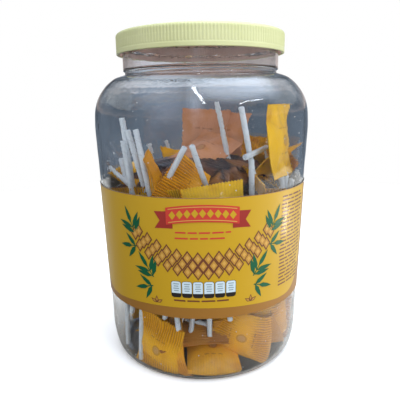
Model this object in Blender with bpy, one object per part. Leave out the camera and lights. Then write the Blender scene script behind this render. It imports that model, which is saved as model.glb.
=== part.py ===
"""A sealed clear jar of honey lollipops: a PET jar, its ribbed screw lid, a wrap-round label and
the lollipops that fill it. Metres, +Z up, origin at the middle of the base, label's front at -Y."""

import random
from math import cos, hypot, pi, radians, sin

import bmesh
import bpy
from mathutils import Matrix, Vector

MM = 0.001

# Driving sizes, in millimetres: lid, jar and label
LID_TOP = 226.0
LID_RADIUS = 58.0
LID_RIM = 212.2
LID_WALL = 2.0
LID_BAND = 3.0
LID_RIBS = 172
RIB_DEPTH = 0.45
NECK_RADIUS = 54.0
NECK_RIM = 223.6
COLLAR_BOTTOM = 201.8
GROOVE_RADIUS = 52.9
SHOULDER_RADIUS = 75.1
SHOULDER_HEIGHT = 168.0
WAIST_RADIUS = 71.5
BASE_RING_OUTER = 62.5
BASE_RING_INNER = 57.0
PUSH_UP = 5.4
WALL = 1.1
LABEL_BOTTOM = 48.1
LABEL_TOP = 126.2
LABEL_THICKNESS = 0.35
GAP = 0.3

# A turn of the closing thread rises 4.2 mm, the pitch of a 110 mm wide-mouth neck
THREAD_PITCH = 4.2
THREAD_DEPTH = 1.1
THREAD_WIDTH = 1.5
THREAD_TURNS = 1.2
THREAD_START = 214.2

# One lollipop: a pillow pouch round the candy, and the paper stick that leaves its lower seal
POUCH_WIDTH = 39.0
POUCH_LENGTH = 46.0
POUCH_BULGE = 11.0
POUCH_EDGE = 1.3
STICK_RADIUS = 1.8
STICK_START = 4.0
STICK_REACH = 68.0
HEAP_CLEARANCE = 0.9

# Facets round each turned piece
JAR_STEPS = 48
LID_STEPS = 86
THREAD_STEPS = 24
CORE_STEPS = 14
STICK_SIDES = 5

# Outside of the jar from the mouth down: height and radius of each turn in its outline
JAR_OUTLINE = [
    (NECK_RIM, NECK_RADIUS - 1.0),
    (NECK_RIM - 0.8, NECK_RADIUS),
    (COLLAR_BOTTOM, NECK_RADIUS),
    (COLLAR_BOTTOM - 0.9, GROOVE_RADIUS),
    (COLLAR_BOTTOM - 2.6, GROOVE_RADIUS),
    (198.4, 55.2),
    (197.0, 59.6),
    (193.8, 64.4),
    (189.0, 68.8),
    (183.0, 72.4),
    (176.0, 74.5),
    (SHOULDER_HEIGHT, SHOULDER_RADIUS),
    (150.0, 74.7),
    (125.2, 73.7),
    (64.9, WAIST_RADIUS),
    (32.1, 70.7),
    (15.3, 70.1),
    (8.5, 69.0),
    (3.6, 67.4),
    (1.0, 65.3),
    (0.0, BASE_RING_OUTER),
    (0.0, BASE_RING_INNER),
    (1.7, 53.6),
    (4.0, 46.0),
    (PUSH_UP, 28.0),
    (PUSH_UP, 0.0),
]
# Turns of the outline that the smoother inside of the wall leaves out
OUTSIDE_ONLY = {1, 3, 5, 7, 9, 12, 14, 16, 18, 20, 22}

# The heap's plain core: packed out to the wall behind the label, smaller where the jar is clear
CORE_OUTLINE = [(146.0, 0.0), (138.0, 40.0), (118.0, 67.0), (57.0, 66.0), (46.0, 48.0), (14.0, 46.0)]
CORE_FOOT_RADIUS = 42.0

# Lollipops that the front shows, above and below the label: angle round the jar from the front
# towards +X, radius and height of the candy, climb and bearing of the stick, roll of the pouch
ABOVE_LABEL = [
    (-50, 60, 104, 84, -20, 30),
    (-44, 59, 90, 82, -60, 0),
    (-36, 52, 98, 76, -60, 20),
    (-28, 60, 98, 79, -81, 0),
    (-21, 60, 110, 22, -113, 0),
    (-48, 57, 95, 40, -110, 0),
    (-48, 55, 98, 56, 102, 0),
    (21, 35, 96, 61, -55, 0),
    (67, 26, 114, 79, -157, 0),
    (46, 55, 113, 71, -84, 62),
    (94, 55, 150, -2, -119, 0),
    (34, 59, 78, 85, -60, 0),
    (61, 62, 66, 88, 0, 0),
    (70, 58, 62, 80, -40, 0),
    (176, 26, 152, -86, 76, 4),
    (142, 30, 150, -72, 176, 0),
    (0, 6, 145, -25, -48, 55),
    (57, 60, 155, -84, 0, -3),
    (-36, 50, 126, -78, 150, 52),
    (-8, 55, 122, -40, 108, -35),
    (8, 63, 109, -83, 90, 0),
    (-47, 62, 107, -80, 0, 0),
    (-24, 62, 103, -78, 60, 10),
    (46, 56, 103, -65, 120, 55),
    (72, 50, 134, -50, 150, 30),
]
BELOW_LABEL = [
    (-29, 61, 13, 80, 90, -8),
    (-23, 60, 19, 75, -150, -30),
    (6, 47, 9, 12, 180, 6),
    (5, 50, 27, 4, 92, -70),
    (41, 60, 35, -8, -132, 0),
    (28, 60, 25, 12, -128, -18),
    (62, 58, 30, 14, -140, 6),
    (-60, 62, 76, -88, 0, 0),
    (-44, 62, 72, -86, 0, 0),
    (12, 40, 88, -59, -67, 0),
    (0, 45, 88, -80, -60, 0),
    (4, 50, 90, -88, 0, 0),
    (36, 58, 22, -3, -135, -32),
]
ROUND_THE_BACK = [
    (90, 50, 128, 6, 90, -60),
    (128, 48, 130, -8, 96, -58),
    (166, 50, 128, 10, -84, -54),
    (204, 46, 127, -10, 84, -60),
    (242, 50, 126, 8, -92, -56),
    (200, 24, 137, -6, -100, -74),
]
# The pile is higher at the right and back, and low from here round to the left
LOW_SIDE = 215


def sides_and_back():
    """The lollipops that the front doesn't show: round the sides and back, and on the floor"""
    draw = random.Random(12)
    places = []
    for step in range(7):
        angle = 92 + step * 24 + draw.uniform(-6, 6)
        height = draw.uniform(118, 136) if angle < LOW_SIDE else 108
        climb, bearing = draw.uniform(-85, -40), draw.uniform(110, 250)
        places.append((angle, 57, height, climb, bearing, draw.uniform(-25, 25)))
    for step in range(6):
        angle = 84 + step * 33 + draw.uniform(-9, 9)
        radius, height = draw.uniform(50, 62), draw.uniform(76, 96)
        places.append((angle, radius, height, draw.uniform(64, 88), draw.uniform(-180, 180), 0))
    for step in range(6):
        angle = 92 + step * 36 + draw.uniform(-6, 6)
        height, climb, bearing = draw.uniform(20, 36), draw.uniform(-20, 85), draw.uniform(100, 260)
        places.append((angle, 57, height, climb, bearing, draw.uniform(-25, 25)))
    for step in range(3):
        angle = 110 + step * 65 + draw.uniform(-9, 9)
        height, climb = draw.uniform(74, 92), draw.uniform(-88, -72)
        places.append((angle, 61, height, climb, draw.uniform(-180, 180), 0))
    for step in range(3):
        places.append((60 + step * 120, 26, 12, draw.uniform(0, 8), draw.uniform(60, 300), 84))
    return places


def start_empty():
    for item in list(bpy.data.objects):
        bpy.data.objects.remove(item, do_unlink=True)


def finish_of(name, colour, roughness, transmission=0.0):
    material = bpy.data.materials.new(name)
    material.use_nodes = True
    shader = material.node_tree.nodes["Principled BSDF"]
    shader.inputs["Base Color"].default_value = (*colour, 1.0)
    shader.inputs["Roughness"].default_value = roughness
    shader.inputs["Metallic"].default_value = 0.0
    shader.inputs["Transmission Weight"].default_value = transmission
    return material


def object_from(name, build, material=None):
    """A named object from a bmesh, with its faces turned outwards"""
    bmesh.ops.recalc_face_normals(build, faces=build.faces)
    mesh = bpy.data.meshes.new(name)
    build.to_mesh(mesh)
    build.free()
    item = bpy.data.objects.new(name, mesh)
    bpy.context.scene.collection.objects.link(item)
    if material:
        mesh.materials.append(material)
    return item


def smooth_round(item):
    item.data.shade_smooth()
    item.data.set_sharp_from_angle(angle=radians(35))


def round_axis(turn, radius, height):
    """A point at an angle from the front, in metres"""
    return Vector((radius * sin(turn), -radius * cos(turn), height)) * MM


def wall_radius(outline, height):
    """Radius of a jar outline at a height, on its way down from the mouth"""
    for (top, top_radius), (low, low_radius) in zip(outline, outline[1:]):
        if low <= height <= top and top > low:
            share = (top - height) / (top - low)
            return top_radius + share * (low_radius - top_radius)
    return outline[-1][1]


def floor_height(outline, radius):
    """Height of the jar's inner floor at a distance from the axis, lowest inside the standing ring"""
    lowest = min(outline)
    if radius >= lowest[1]:
        return lowest[0]
    floor = outline[outline.index(lowest):]
    for (height, far), (inner_height, near) in zip(floor, floor[1:]):
        if near <= radius <= far:
            share = (radius - near) / (far - near)
            return inner_height + share * (height - inner_height)
    return outline[-1][0]


def inwards(outline, distance):
    """The outline moved inwards, square to itself, by the wall's thickness"""
    moved = []
    for index, (height, radius) in enumerate(outline):
        before = outline[max(index - 1, 0)]
        after = outline[min(index + 1, len(outline) - 1)]
        run = Vector((after[1] - before[1], after[0] - before[0])).normalized()
        moved.append((height - distance * run.x, radius + distance * run.y))
    return moved


def add_ring(build, radius, height, steps):
    """One level ring of vertices, its first one at the front"""
    return [build.verts.new(round_axis(2 * pi * step / steps, radius, height)) for step in range(steps)]


def join_rings(build, upper, lower):
    """The band between two rings of as many vertices"""
    for step in range(len(upper)):
        after = (step + 1) % len(upper)
        build.faces.new((upper[step], upper[after], lower[after], lower[step]))


def fan_rings(build, coarse, fine):
    """The band between a ring and one with a whole multiple of its vertices"""
    share = len(fine) // len(coarse)
    for step, here in enumerate(coarse):
        after = coarse[(step + 1) % len(coarse)]
        for part in range(share):
            first = fine[step * share + part]
            second = fine[(step * share + part + 1) % len(fine)]
            build.faces.new((here if part < share // 2 else after, first, second))
        build.faces.new((here, fine[step * share + share // 2], after))


def close_ring(build, ring, height):
    middle = build.verts.new((0.0, 0.0, height * MM))
    for step in range(len(ring)):
        build.faces.new((ring[step], ring[(step + 1) % len(ring)], middle))


def turned(build, outline, steps):
    """Rings of a turned outline of heights and radii, joined in order and closed on the axis"""
    rings = [add_ring(build, radius, height, steps) for height, radius in outline if radius > 0]
    for upper, lower in zip(rings, rings[1:]):
        join_rings(build, upper, lower)
    if outline[0][1] == 0:
        close_ring(build, rings[0], outline[0][0])
    if outline[-1][1] == 0:
        close_ring(build, rings[-1], outline[-1][0])
    return rings


def neck_thread():
    """The neck's thread: a bar of trapezoid section that fades into the wall at both ends"""
    build = bmesh.new()
    bite, fade_in = 0.5, 5.0
    count = int(THREAD_TURNS * THREAD_STEPS)
    sections = []
    for step in range(count + 1):
        turn = 2 * pi * THREAD_TURNS * step / count
        fade = min(1.0, fade_in * min(step, count - step) / count + 0.05)
        height = THREAD_START + THREAD_PITCH * THREAD_TURNS * step / count
        root, crest = NECK_RADIUS - bite, NECK_RADIUS + THREAD_DEPTH * fade
        corners = ((root, 0.5), (crest, 0.25), (crest, -0.25), (root, -0.5))
        sections.append([build.verts.new(round_axis(turn, radius, height + share * THREAD_WIDTH))
                         for radius, share in corners])
    for one, two in zip(sections, sections[1:]):
        join_rings(build, one, two)
    build.faces.new(sections[0])
    build.faces.new(sections[-1])
    return object_from("neck thread", build)


def fuse(item, tools, solver):
    """Joins the tools onto an object by one union, applied, and removes the tools"""
    group = bpy.data.collections.new(item.name + " pieces")
    bpy.context.scene.collection.children.link(group)
    for tool in tools:
        bpy.context.scene.collection.objects.unlink(tool)
        group.objects.link(tool)
    union = item.modifiers.new("union", "BOOLEAN")
    union.operation = "UNION"
    union.operand_type = "COLLECTION"
    union.collection = group
    union.solver = solver
    graph = bpy.context.evaluated_depsgraph_get()
    fused = bpy.data.meshes.new_from_object(item.evaluated_get(graph))
    item.modifiers.clear()
    item.data = fused
    for tool in tools:
        bpy.data.objects.remove(tool, do_unlink=True)
    bpy.data.collections.remove(group)


def keep_main_shell(item):
    """Drops loose scraps and fills sealed hollows: only the largest joined shell stays"""
    build = bmesh.new()
    build.from_mesh(item.data)
    unseen = set(build.verts)
    shells = []
    while unseen:
        shell, border = set(), [unseen.pop()]
        while border:
            vertex = border.pop()
            shell.add(vertex)
            for edge in vertex.link_edges:
                other = edge.other_vert(vertex)
                if other in unseen:
                    unseen.discard(other)
                    border.append(other)
        shells.append(shell)
    largest = max(shells, key=len)
    scraps = [vertex for vertex in build.verts if vertex not in largest]
    bmesh.ops.delete(build, geom=scraps, context="VERTS")
    bmesh.ops.triangulate(build, faces=build.faces)
    build.to_mesh(item.data)
    build.free()


def make_jar():
    """Blown PET: threaded neck, groove, round shoulder, tapered side, standing ring and push-up"""
    pet = finish_of("clear PET", (0.72, 0.76, 0.80), 0.05, transmission=0.9)
    inside = inwards(JAR_OUTLINE, WALL)
    inside[0] = (NECK_RIM, JAR_OUTLINE[0][1] - WALL)
    inside[-1] = (PUSH_UP + WALL, 0.0)
    cavity = [point for index, point in enumerate(inside) if index not in OUTSIDE_ONLY]
    build = bmesh.new()
    outer_rings = turned(build, JAR_OUTLINE, JAR_STEPS)
    inner_rings = turned(build, cavity, JAR_STEPS)
    join_rings(build, outer_rings[0], inner_rings[0])
    jar = object_from("jar", build, pet)
    fuse(jar, [neck_thread()], "EXACT")
    keep_main_shell(jar)
    smooth_round(jar)
    return cavity


def make_lid():
    """Screw lid: sunk panel, rounded edge, ribbed skirt over a plain band, hollow inside"""
    plastic = finish_of("pale yellow polyethylene", (0.72, 0.70, 0.26), 0.45)
    bore, liner = LID_RADIUS - LID_WALL, NECK_RIM + GAP + 0.2
    top_outline = [
        (LID_TOP - 0.9, 0.0),
        (LID_TOP - 0.9, LID_RADIUS - 8.0),
        (LID_TOP, LID_RADIUS - 7.2),
        (LID_TOP, LID_RADIUS - 2.6),
        (LID_TOP - 0.9, LID_RADIUS - 0.9),
    ]
    rim_outline = [(LID_RIM + LID_BAND, LID_RADIUS), (LID_RIM, LID_RADIUS), (LID_RIM, bore), (liner, bore),
                   (liner, 0.0)]
    build = bmesh.new()
    top_rings = turned(build, top_outline, LID_STEPS)
    ribs = []
    for height in (LID_TOP - 2.6, LID_RIM + LID_BAND + 0.4):
        rib_line = []
        for step in range(2 * LID_RIBS):
            radius = LID_RADIUS - RIB_DEPTH * (step % 2)
            rib_line.append(build.verts.new(round_axis(pi * step / LID_RIBS, radius, height)))
        ribs.append(rib_line)
    rim_rings = turned(build, rim_outline, LID_STEPS)
    fan_rings(build, top_rings[-1], ribs[0])
    join_rings(build, ribs[0], ribs[1])
    fan_rings(build, rim_rings[0], ribs[1])
    smooth_round(object_from("lid", build, plastic))


def make_label():
    """A printed sleeve wrapped round the jar's side, a hair off it"""
    print_yellow = finish_of("printed label", (0.58, 0.37, 0.03), 0.35)
    inside = [(height, wall_radius(JAR_OUTLINE, height) + GAP) for height in (LABEL_TOP, LABEL_BOTTOM)]
    outside = [(height, radius + LABEL_THICKNESS) for height, radius in inside]
    build = bmesh.new()
    rings = turned(build, outside + inside[::-1], JAR_STEPS)
    join_rings(build, rings[-1], rings[0])
    smooth_round(object_from("label", build, print_yellow))


def lollipop_place(angle, radius, height, climb, bearing, roll):
    """Matrix of a lollipop whose stick runs along its own +Z and whose pouch faces its own -Y"""
    turn, rise, swing = radians(angle), radians(climb), radians(bearing)
    outwards = Vector((sin(turn), -cos(turn), 0.0))
    along = Vector((cos(turn), sin(turn), 0.0))
    stick = cos(rise) * (cos(swing) * outwards + sin(swing) * along) + Vector((0.0, 0.0, sin(rise)))
    face = outwards - outwards.dot(stick) * stick
    if face.length < 0.2:
        face = Vector((0.0, 0.0, 1.0)) - stick.z * stick
    face = Matrix.Rotation(radians(roll), 3, stick) @ face.normalized()
    axes = Matrix((stick.cross(face), -face, stick)).transposed()
    return Matrix.Translation(outwards * radius + Vector((0.0, 0.0, height))) @ axes.to_4x4()


def lollipop_limits():
    """Points of a lollipop that stay inside the jar: pouch corners, bulge and stick tip"""
    side, end, thin, thick = POUCH_WIDTH / 2, POUCH_LENGTH / 2, POUCH_EDGE / 2, POUCH_BULGE / 2
    points = [Vector((x, y, z)) for x in (-side, side) for y in (-thin, thin) for z in (-end, 0.0, end)]
    points += [Vector((0.0, y, z)) for y in (-thick, thick) for z in (-end / 2, 0.0, end / 2)]
    points += [Vector((x, y, STICK_REACH)) for x in (-STICK_RADIUS, STICK_RADIUS)
               for y in (-STICK_RADIUS, STICK_RADIUS)]
    return points


def settle(place, cavity):
    """Moves a lollipop inwards and up until all of it lies clear inside the jar"""
    most_rounds, slack = 60, 0.01
    limits = lollipop_limits()
    flat_of_facet = cos(pi / JAR_STEPS)
    for _ in range(most_rounds):
        moved = False
        for point in limits:
            spot = place @ point
            distance = hypot(spot.x, spot.y)
            lift = floor_height(cavity, distance) + HEAP_CLEARANCE - spot.z
            excess = distance - wall_radius(cavity, spot.z) * flat_of_facet + HEAP_CLEARANCE
            if lift > slack:
                place = Matrix.Translation((0.0, 0.0, lift)) @ place
                moved = True
            elif excess > slack:
                shift = Vector((-spot.x, -spot.y, 0.0)) * excess / distance
                place = Matrix.Translation(shift) @ place
                moved = True
        if not moved:
            break
    return place


def pouch(place):
    """The filled wrapper: a flat pillow, thickest over the candy, thin at its seals and folds"""
    build = bmesh.new()
    columns, rows, waist = (-1.0, 0.0, 1.0), (-1.0, -0.72, 0.0, 0.72, 1.0), 0.94
    sheets = []
    for facing in (-1, 1):
        sheet = []
        for row in rows:
            swell = max(0.0, 1.0 - (abs(row) / 0.8) ** 2.4)
            line = []
            for column in columns:
                swollen = swell * (1.0 - abs(column)) * (POUCH_BULGE - POUCH_EDGE) / 2
                x = column * POUCH_WIDTH / 2 * (waist if row == 0.0 else 1.0)
                local = Vector((x, facing * (POUCH_EDGE / 2 + swollen), row * POUCH_LENGTH / 2))
                line.append(build.verts.new(place @ local * MM))
            sheet.append(line)
        for lower, upper in zip(sheet, sheet[1:]):
            for j in range(len(columns) - 1):
                build.faces.new((lower[j], lower[j + 1], upper[j + 1], upper[j]))
        rim = sheet[0] + [line[-1] for line in sheet[1:-1]] + sheet[-1][::-1]
        sheets.append(rim + [line[0] for line in sheet[-2:0:-1]])
    join_rings(build, sheets[0], sheets[1])
    return build


def paper_stick(place):
    build = bmesh.new()
    rings = []
    for height in (STICK_START, STICK_REACH):
        corners = [2 * pi * side / STICK_SIDES for side in range(STICK_SIDES)]
        rings.append([build.verts.new(
            place @ Vector((STICK_RADIUS * cos(turn), STICK_RADIUS * sin(turn), height)) * MM)
            for turn in corners])
    join_rings(build, rings[0], rings[1])
    build.faces.new(rings[0])
    build.faces.new(rings[1])
    return build


def make_lollipops(cavity):
    """The heap in the jar: a plain core with each lollipop that shows fused onto it"""
    film = finish_of("golden wrapper film", (0.60, 0.33, 0.05), 0.3)
    foot = cavity[-1][0] + GAP
    build = bmesh.new()
    turned(build, CORE_OUTLINE + [(foot, CORE_FOOT_RADIUS), (foot, 0.0)], CORE_STEPS)
    heap = object_from("lollipops", build, film)
    pieces = []
    for numbers in ABOVE_LABEL + BELOW_LABEL + sides_and_back() + ROUND_THE_BACK:
        place = settle(lollipop_place(*numbers), cavity)
        pieces.append(object_from("pouch", pouch(place)))
        pieces.append(object_from("stick", paper_stick(place)))
    fuse(heap, pieces, "MANIFOLD")
    keep_main_shell(heap)


start_empty()
jar_cavity = make_jar()
make_lid()
make_label()
make_lollipops(jar_cavity)
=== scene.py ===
"""A sealed jar of honey lollipops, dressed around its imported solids: blown PET jar, wrapped lollipops on
paper sticks, printed label and ribbed screw lid, on a pale floor in soft studio light."""

import random
from math import atan2, cos, exp, hypot, pi, radians, sin

import bmesh
import bpy
from mathutils import Matrix, Vector, noise


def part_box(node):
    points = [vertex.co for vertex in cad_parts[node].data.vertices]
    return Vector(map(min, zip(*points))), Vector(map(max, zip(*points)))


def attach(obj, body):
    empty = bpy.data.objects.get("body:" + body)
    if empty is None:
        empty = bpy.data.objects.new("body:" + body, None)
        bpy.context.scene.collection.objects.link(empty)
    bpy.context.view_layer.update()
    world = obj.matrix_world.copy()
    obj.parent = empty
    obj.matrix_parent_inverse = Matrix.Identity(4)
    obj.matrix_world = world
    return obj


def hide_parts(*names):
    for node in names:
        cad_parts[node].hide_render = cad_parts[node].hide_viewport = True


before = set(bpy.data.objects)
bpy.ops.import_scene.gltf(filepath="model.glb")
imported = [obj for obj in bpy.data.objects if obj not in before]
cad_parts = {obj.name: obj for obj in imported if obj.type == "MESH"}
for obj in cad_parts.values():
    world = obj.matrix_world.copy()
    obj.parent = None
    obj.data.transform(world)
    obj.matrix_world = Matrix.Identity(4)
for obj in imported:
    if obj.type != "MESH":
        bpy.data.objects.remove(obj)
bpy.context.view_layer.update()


# Jar: one piece of clear PET with a faint smoky tint, blown in a two-part mould. Its neck was moulded first,
# so it is truer than the body, whose wall shows shallow waves. It stands on a ring round its raised middle.

MM = 0.001
WALL = 1.1
NECK_RADIUS = 54.0
NECK_LINE = [(223.6, 53.0), (222.8, NECK_RADIUS), (201.8, NECK_RADIUS), (200.9, 52.9), (199.2, 52.9)]
BODY_LINE = [(199.2, 52.9), (198.4, 55.2), (197.0, 59.6), (193.8, 64.4), (189.0, 68.8), (183.0, 72.4),
             (176.0, 74.5), (168.0, 75.1), (150.0, 74.7), (125.2, 73.7), (64.9, 71.5), (32.1, 70.7),
             (15.3, 70.1), (8.5, 69.0), (3.6, 67.4), (1.0, 65.3), (0.0, 62.5)]
RING_LINE = [(0.0, 62.5), (0.0, 57.0)]
FOOT_LINE = [(0.0, 57.0), (1.7, 53.6), (4.0, 46.0), (5.4, 28.0), (5.4, 0.0)]
JAR_COLUMNS = 240
THREAD_PITCH = 4.2
THREAD_START = 214.2
THREAD_DEPTH = 1.1
THREAD_TURNS = 1.2
SMOKY_PET = "#F0F3F6"


def linear(hex_colour):
    """An sRGB hex colour as the linear red, green, blue and alpha that a shader takes"""
    shares = [int(hex_colour[at:at + 2], 16) / 255 for at in (1, 3, 5)]
    return tuple(share / 12.92 if share <= 0.04045 else ((share + 0.055) / 1.055) ** 2.4
                 for share in shares) + (1.0,)


def add_node(finish, kind, values=(), links=(), stops=(), **settings):
    """Adds a node to a material: values and links go to its inputs, stops to its colour ramp"""
    node = finish.node_tree.nodes.new(kind)
    for name, setting in settings.items():
        setattr(node, name, setting)
    for socket, value in dict(values).items():
        node.inputs[socket].default_value = value
    for socket, source in dict(links).items():
        finish.node_tree.links.new(source, node.inputs[socket])
    if stops:
        while len(node.color_ramp.elements) < len(stops):
            node.color_ramp.elements.new(1.0)
        for element, (place, hex_colour) in zip(node.color_ramp.elements, stops):
            element.position = place
            element.color = linear(hex_colour)
    return node


def empty_finish(name):
    finish = bpy.data.materials.new(name)
    finish.use_nodes = True
    finish.node_tree.nodes.clear()
    return finish


def through(points, spacing, curved):
    """Points about a spacing apart along a line of heights and radii, smooth or straight between them"""
    run = []
    for index in range(len(points) - 1):
        before, start, end, after = (
            Vector(points[min(max(index + step, 0), len(points) - 1)]) for step in (-1, 0, 1, 2))
        chord = (end - start).length
        lead, tail = (start - before).length, (after - end).length
        leave = arrive = end - start
        if curved and lead > 0:
            leave = chord * ((start - before) / lead - (end - before) / (lead + chord)) + (end - start)
        if curved and tail > 0:
            arrive = (end - start) - chord * ((after - start) / (chord + tail) - (after - end) / tail)
        count = max(1, round(chord / spacing))
        for step in range(count):
            t = step / count
            run.append((2 * t ** 3 - 3 * t ** 2 + 1) * start + (t ** 3 - 2 * t ** 2 + t) * leave
                       + (3 * t ** 2 - 2 * t ** 3) * end + (t ** 3 - t ** 2) * arrive)
    return run


def inwards(line, distance):
    """The line moved towards the inside of the jar, square to itself"""
    moved = []
    for index, point in enumerate(line):
        run = line[min(index + 1, len(line) - 1)] - line[max(index - 1, 0)]
        run.normalize()
        moved.append(Vector((point.x - distance * run.y, point.y + distance * run.x)))
    return moved


def at_height(line, height):
    """Radius of a line of heights and radii at a height, on its way down"""
    for upper, lower in zip(line, line[1:]):
        if lower.x <= height <= upper.x and upper.x > lower.x:
            return upper.y + (upper.x - height) / (upper.x - lower.x) * (lower.y - upper.y)
    return line[-1].y


def thread_relief(turn, height):
    """Height of the lid's thread on the neck: a rounded ridge that climbs as it goes round"""
    relief = 0.0
    for lap in (0, 1):
        run = turn / (2 * pi) + lap
        fade = min(1.0, 10 * run, 10 * (THREAD_TURNS - run))
        off = abs(height - THREAD_START - THREAD_PITCH * run) / 0.75
        if fade > 0 and off < 1:
            relief = max(relief, THREAD_DEPTH * fade * (1 - off ** 3))
    return relief


def wall_waves(turn, height):
    """The blown wall's shallow waves, rings of chill marks under the neck and two mould lines"""
    around = Vector((2.2 * cos(turn), 2.2 * sin(turn), height / 34))
    waves = 0.32 * noise.noise(around) + 0.16 * noise.noise(around * 2.7)
    rings = 0.13 * sin(2 * pi * height / 3.1) * exp(-((height - 194) / 4.5) ** 2)
    mould = 0.1 * exp(-(abs(abs(turn - pi) - pi / 2) / 0.02) ** 2)
    steady = min(1.0, max(0.0, (height - 2) / 14)) * min(1.0, max(0.0, (200 - height) / 6))
    return steady * (waves + rings + mould)


def lathe(line, columns, relief=None):
    """Points and faces of a turned surface; a point of the line on the axis closes it there"""
    points, faces, rings = [], [], []
    for height, radius in line:
        if radius < 1e-6:
            rings.append([len(points)])
            points.append(Vector((0.0, 0.0, height)))
            continue
        rings.append(list(range(len(points), len(points) + columns)))
        for column in range(columns):
            turn = 2 * pi * column / columns
            out = radius + (relief(turn, height) if relief else 0.0)
            points.append(Vector((out * sin(turn), -out * cos(turn), height)))
    for upper, lower in zip(rings, rings[1:]):
        for column in range(columns):
            after = (column + 1) % columns
            quad = [upper[column % len(upper)], upper[after % len(upper)],
                    lower[after % len(lower)], lower[column % len(lower)]]
            faces.append([corner for at, corner in enumerate(quad) if corner not in quad[:at]])
    return points, faces


def make_piece(name, points, faces, finishes, sharp=40, face_finish=None):
    """A named mesh from points in millimetres, shaded smooth but for its sharp edges"""
    mesh = bpy.data.meshes.new(name)
    mesh.from_pydata([point * MM for point in points], [], faces)
    for finish in finishes:
        mesh.materials.append(finish)
    if face_finish:
        mesh.polygons.foreach_set("material_index", face_finish)
    mesh.shade_smooth()
    mesh.set_sharp_from_angle(angle=radians(sharp))
    item = bpy.data.objects.new(name, mesh)
    bpy.context.scene.collection.objects.link(item)
    return item


def face_outwards(item):
    build = bmesh.new()
    build.from_mesh(item.data)
    bmesh.ops.recalc_face_normals(build, faces=build.faces)
    build.to_mesh(item.data)
    build.free()


neck_run = through(NECK_LINE, 0.7, False)
body_run = through(BODY_LINE, 2.2, True)
foot_run = through(RING_LINE, 2.8, False) + through(FOOT_LINE, 3.5, True) + [Vector(FOOT_LINE[-1])]
outer_line = neck_run + body_run + foot_run
inner_line = inwards(outer_line, WALL)
inner_line[0] = Vector((NECK_LINE[0][0], NECK_LINE[0][1] - WALL))
inner_line[-1] = Vector((FOOT_LINE[-1][0] + WALL, 0.0))

outside_points, outside_faces = lathe(
    outer_line, JAR_COLUMNS,
    lambda turn, height: wall_waves(turn, height) + thread_relief(turn, height))
inside_points, inside_faces = lathe(inner_line, JAR_COLUMNS, wall_waves)
first_inside = len(outside_points)
jar_faces = outside_faces + [[corner + first_inside for corner in face[::-1]] for face in inside_faces]
for column in range(JAR_COLUMNS):
    after = (column + 1) % JAR_COLUMNS
    jar_faces.append([after, column, first_inside + column, first_inside + after])

# PET as blown: clear and glossy, index 1.57, with faint scuffs and a slightly uneven skin every 9 mm or so
blown_pet = empty_finish("Blown clear PET")
jar_place = add_node(blown_pet, "ShaderNodeTexCoord")
skin = add_node(blown_pet, "ShaderNodeTexNoise", {"Scale": 1 / 0.009, "Detail": 3.0},
                {"Vector": jar_place.outputs["Object"]})
skin_bump = add_node(blown_pet, "ShaderNodeBump", {"Strength": 0.3, "Distance": 0.0004},
                     {"Height": skin.outputs["Fac"]})
pet_shader = add_node(
    blown_pet, "ShaderNodeBsdfPrincipled",
    {"Base Color": linear(SMOKY_PET), "Roughness": 0.03, "IOR": 1.57, "Transmission Weight": 1.0},
    {"Normal": skin_bump.outputs["Normal"]})
add_node(blown_pet, "ShaderNodeOutputMaterial", links={"Surface": pet_shader.outputs["BSDF"]})

jar = make_piece("jar_blown_pet", outside_points + inside_points, jar_faces, [blown_pet], sharp=50)
face_outwards(jar)
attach(jar, "root")
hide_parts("jar")


# Lollipops, as they fell into the jar. A row places one that shows, in degrees and millimetres: its angle
# round the jar from the front towards +X, the radius and height of its candy, the climb and bearing of its
# stick and the roll of its pouch. The first list shows over the label's top and the second under its foot.

ABOVE_LABEL = [
    (-50, 60, 104, 84, -20, 30),
    (-44, 59, 90, 82, -60, 0),
    (-36, 52, 98, 76, -60, 20),
    (-28, 60, 98, 79, -81, 0),
    (-21, 60, 110, 22, -113, 0),
    (-48, 57, 95, 40, -110, 0),
    (-48, 55, 98, 56, 102, 0),
    (21, 35, 96, 61, -55, 0),
    (67, 26, 114, 79, -157, 0),
    (46, 55, 113, 71, -84, 62),
    (94, 55, 150, -2, -119, 0),
    (34, 59, 78, 85, -60, 0),
    (61, 62, 66, 88, 0, 0),
    (70, 58, 62, 80, -40, 0),
    (176, 26, 152, -86, 76, 4),
    (142, 30, 150, -72, 176, 0),
    (0, 6, 145, -25, -48, 55),
    (57, 60, 155, -84, 0, -3),
    (-36, 50, 126, -78, 150, 52),
    (-8, 55, 122, -40, 108, -35),
    (8, 63, 109, -83, 90, 0),
    (-47, 62, 107, -80, 0, 0),
    (-24, 62, 103, -78, 60, 10),
    (46, 56, 103, -65, 120, 55),
    (72, 50, 134, -50, 150, 30),
]
BELOW_LABEL = [
    (-29, 61, 13, 80, 90, -8),
    (-23, 60, 19, 75, -150, -30),
    (6, 47, 9, 12, 180, 6),
    (5, 50, 27, 4, 92, -70),
    (41, 60, 35, -8, -132, 0),
    (28, 60, 25, 12, -128, -18),
    (62, 58, 30, 14, -140, 6),
    (-60, 62, 76, -88, 0, 0),
    (-44, 62, 72, -86, 0, 0),
    (12, 40, 88, -59, -67, 0),
    (0, 45, 88, -80, -60, 0),
    (4, 50, 90, -88, 0, 0),
    (36, 58, 22, -3, -135, -32),
]
ROUND_THE_BACK = [
    (90, 50, 128, 6, 90, -60),
    (128, 48, 130, -8, 96, -58),
    (166, 50, 128, 10, -84, -54),
    (204, 46, 127, -10, 84, -60),
    (242, 50, 126, 8, -92, -56),
    (200, 24, 137, -6, -100, -74),
]
STIFF_SHARE = 0.6
LOW_SIDE = 215
POUCH_WIDTH = 39.0
POUCH_LENGTH = 46.0
POUCH_BULGE = 11.0
STICK_RADIUS = 1.8
STICK_START = 4.0
STICK_REACH = 68.0
CLEARANCE = 0.9
FILM_EDGE = 0.65
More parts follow.
